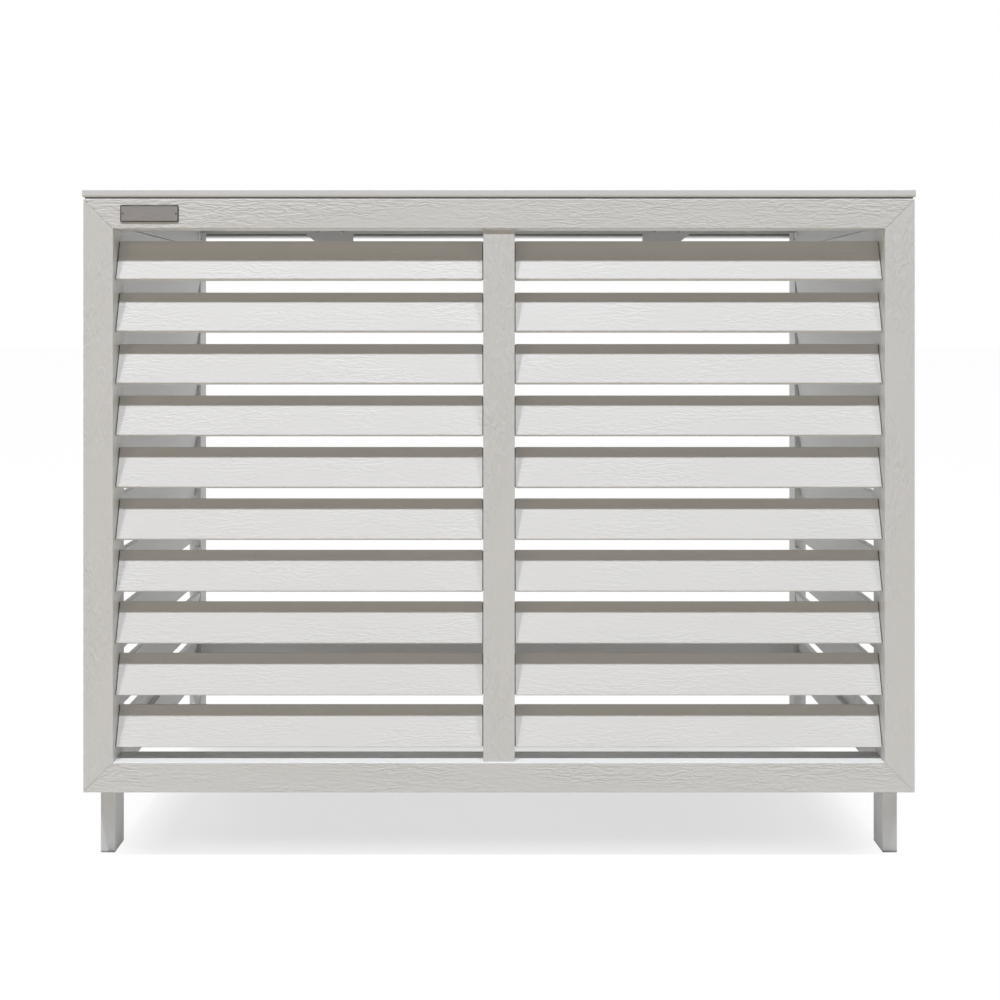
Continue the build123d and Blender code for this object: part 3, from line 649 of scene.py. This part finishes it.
def make_plate_rivets():
    """Two small domed rivets at the ends of the name plate, with their shanks."""
    low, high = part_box("name_plate_rivets")
    plate_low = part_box("name_plate")[0]
    top = plate_low.y - low.y
    end = plate_low.y - high.y
    rivets = []
    for x in (low.x + plate_rivet_radius, high.x - plate_rivet_radius):
        shape = bmesh.new()
        shank = [(plate_rivet_shank, end), (plate_rivet_shank, -plate_rim_height)]
        head = [(plate_rivet_radius, -plate_rim_height)]
        dome = [(out * plate_rivet_radius, up * top) for out, up in dome_shares]
        turned(shape, shank + head + dome, rivet_steps)
        bmesh.ops.holes_fill(shape, edges=ring_at(shape, end, plate_rivet_radius), sides=0)
        stand(shape, (x, plate_low.y, (low.z + high.z) / 2), (0, -1, 0))
        rivets.append(shape)
    piece = new_piece("domed_plate_rivets", together(rivets), dark_steel, "front_panel")
    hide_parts("name_plate_rivets")


def make_lid_seal():
    """A soft black strip under the lid, with a thin lip that closes the seam over the front panel. The strip
    keeps light out of the seam, and its black is also painted shade for the seam's dark line.
    """
    lid_low, lid_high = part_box("lid_tray")
    panel_low, panel_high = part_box("front_top_rail")
    left = panel_low.x + seal_inset
    right = panel_high.x - seal_inset
    bottom = panel_high.z + seal_gap
    front = lid_low.y + seal_front
    lip = lid_low.y + seal_lip_front
    shape = bmesh.new()
    rounded_block(
        shape, (left, front, bottom), (right, front + seal_width, lid_high.z - lid_sheet), seal_round,
    )
    rounded_block(
        shape, (left, lip, bottom), (right, lip + seal_lip_width, bottom + seal_lip_height), seal_lip_round,
    )
    new_piece("lid_seal_black_as_painted_shade", shape, black_rubber_and_seam_shade, "lid")


def make_groove_strip():
    """A grey rubber strip in the groove of the rear top rail."""
    low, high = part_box("rear_top_rail")
    groove = low.z + groove_lip
    shape = bmesh.new()
    rounded_block(
        shape, (low.x, low.y + strip_setback, groove),
        (high.x, low.y + strip_setback + strip_depth, groove + groove_width), strip_round,
    )
    new_piece("grey_groove_strip", shape, grey_rubber, "cabinet")


def make_corner_brackets():
    """Small folded brackets in the corners of the rear top rail and the side rails, with their screws."""
    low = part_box("rear_top_rail")[0]
    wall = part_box("right_rear_leg")[0].x - bracket_gap
    front = low.y - bracket_gap
    bottom = low.z - bracket_drop
    top = bottom + bracket_height
    brackets = bmesh.new()
    screws = []
    for side in (-1, 1):
        left, right = sorted((side * wall, side * (wall - bracket_width)))
        rounded_block(brackets, (left, front - bracket_sheet, bottom), (right, front, top), bracket_round)
        left, right = sorted((side * wall, side * (wall - bracket_sheet)))
        rounded_block(brackets, (left, front - bracket_reach, bottom), (right, front, top), bracket_round)
        place = (side * (wall - bracket_sheet), front - bracket_screw_inset, bottom + bracket_screw_inset)
        screws.append(pan_screw(bracket_screw, bracket_sheet, place, (-side, 0, 0)))
    new_piece("folded_corner_brackets", brackets, white_paint, "cabinet")
    new_piece("corner_bracket_screws", together(screws), dark_steel, "cabinet")


make_frame_screws()
make_hinge_screws()
make_name_plate()
make_plate_rivets()
make_lid_seal()
make_groove_strip()
make_corner_brackets()


# Stage: floor, world, lamps and camera

def studio_floor():
    """A pale floor. The camera sees it near to white, and it keeps the soft shadow of the cover."""
    material = bpy.data.materials.new("pale_painted_floor")
    material.use_nodes = True
    tree = material.node_tree
    tree.nodes.clear()
    seen = seen_directly(tree)
    place = add(tree, "ShaderNodeTexCoord").outputs["Object"]
    side = add(tree, "ShaderNodeVectorMath", {0: place}, operation="ABSOLUTE")
    past = add(tree, "ShaderNodeVectorMath", {
        0: side.outputs["Vector"], 1: (cad_high.x - shadow_inset, cad_high.y - shadow_inset, 0),
    }, operation="SUBTRACT")
    beyond = add(tree, "ShaderNodeVectorMath", {
        0: past.outputs["Vector"], 1: (0, 0, 0),
    }, operation="MAXIMUM")
    distance = add(tree, "ShaderNodeVectorMath", {0: beyond.outputs["Vector"]}, operation="LENGTH")
    fade = add(tree, "ShaderNodeMapRange", {
        "Value": distance.outputs["Value"], "From Max": shadow_fade,
        "To Min": shadow_share, "To Max": white_share,
    }, interpolation_type="SMOOTHSTEP")
    share = add(tree, "ShaderNodeMath", {0: seen, 1: fade.outputs["Result"]}, operation="MULTIPLY")
    parted = add(tree, "ShaderNodeSeparateXYZ", {0: place})
    ahead = add(tree, "ShaderNodeMapRange", {
        "Value": parted.outputs["Y"], "From Min": cad_low.y, "From Max": cad_low.y - light_floor_edge,
    })
    bounce = add(tree, "ShaderNodeMix", {
        "Factor": ahead.outputs["Result"], "A": linear(floor_beneath), "B": linear(floor_ahead),
    }, data_type="RGBA")
    colour = add(tree, "ShaderNodeMix", {
        "Factor": seen, "A": bounce.outputs["Result"], "B": linear(floor_seen),
    }, data_type="RGBA")
    paint = add(tree, "ShaderNodeBsdfDiffuse", {"Color": colour.outputs["Result"]})
    white = add(tree, "ShaderNodeEmission", {"Color": (1, 1, 1, 1), "Strength": 1.0})
    both = add(tree, "ShaderNodeMixShader", {
        0: share.outputs["Value"], 1: paint.outputs["BSDF"], 2: white.outputs["Emission"],
    })
    add(tree, "ShaderNodeOutputMaterial", {"Surface": both.outputs["Shader"]})
    return material


def make_floor():
    """The floor, wide enough to fill every view."""
    mesh = bpy.data.meshes.new("floor")
    shape = bmesh.new()
    bmesh.ops.create_grid(shape, x_segments=1, y_segments=1, size=floor_half_width)
    shape.to_mesh(mesh)
    shape.free()
    floor = bpy.data.objects.new("floor", mesh)
    bpy.context.scene.collection.objects.link(floor)
    mesh.materials.append(studio_floor())


def make_world():
    """A warm, even light from all round, seen as white."""
    world = bpy.data.worlds.new("studio")
    bpy.context.scene.world = world
    world.use_nodes = True
    tree = world.node_tree
    tree.nodes.clear()
    room = add(tree, "ShaderNodeBackground", {"Color": linear(room_light), "Strength": room_strength})
    white = add(tree, "ShaderNodeBackground", {"Color": (1, 1, 1, 1), "Strength": 1.0})
    both = add(tree, "ShaderNodeMixShader", {
        0: seen_directly(tree), 1: room.outputs["Background"], 2: white.outputs["Background"],
    })
    add(tree, "ShaderNodeOutputWorld", {"Surface": both.outputs["Shader"]})


def add_lamp(name, place, aim, size, power, colour, shape="DISK"):
    """An area lamp at a place, turned to a point."""
    data = bpy.data.lights.new(name, "AREA")
    data.shape = shape
    data.size = size
    data.energy = power
    data.color = linear(colour)[:3]
    lamp = bpy.data.objects.new(name, data)
    lamp.location = place
    lamp.rotation_euler = (Vector(aim) - Vector(place)).to_track_quat("-Z", "Y").to_euler()
    bpy.context.scene.collection.objects.link(lamp)
    return lamp


def make_lamps():
    """The row of ceiling lamps, the lower lamp on each side, and the boxes at the sides and behind."""
    middle = Vector((0, 0, (cad_low.z + cad_high.z) / 2))
    for number, (side, power) in enumerate(ceiling_lamps):
        place = (side, front_face - ceiling_lamp_ahead, ceiling_lamp_height)
        add_lamp("ceiling_lamp_%d" % number, place, middle, ceiling_lamp_size, power, ceiling_light)
    for number, (side, power) in enumerate(side_lamps):
        place = (side, front_face - side_lamp_ahead, side_lamp_height)
        add_lamp("side_lamp_%d" % number, place, middle, side_lamp_size, power, side_light)
    for side, name in ((-1, "left"), (1, "right")):
        place = (side * rear_box_side, rear_box_behind, rear_box_height)
        add_lamp(name + "_rear_box", place, middle, rear_box_size, rear_box_power, box_light, "SQUARE")
        place = (side * side_box_side, side_box_behind, side_box_height)
        add_lamp(name + "_side_box", place, middle, side_box_size, side_box_power, box_light, "SQUARE")


def make_camera():
    """The photograph's level camera."""
    data = bpy.data.cameras.new("camera")
    data.sensor_width = sensor_width
    data.lens = sensor_width * pixels_per_metre * camera_distance / picture_width
    data.shift_x = 0.5 - vanishing_column / picture_width
    data.shift_y = horizon_row / picture_width - 0.5
    camera = bpy.data.objects.new("camera", data)
    side = (vanishing_column - middle_column) / pixels_per_metre
    camera.location = (side, front_face - camera_distance, camera_height)
    camera.rotation_euler = (math.pi / 2, 0, 0)
    bpy.context.scene.collection.objects.link(camera)
    bpy.context.scene.camera = camera


make_floor()
make_world()
make_lamps()
make_camera()
bpy.context.scene.view_settings.view_transform = "Standard"
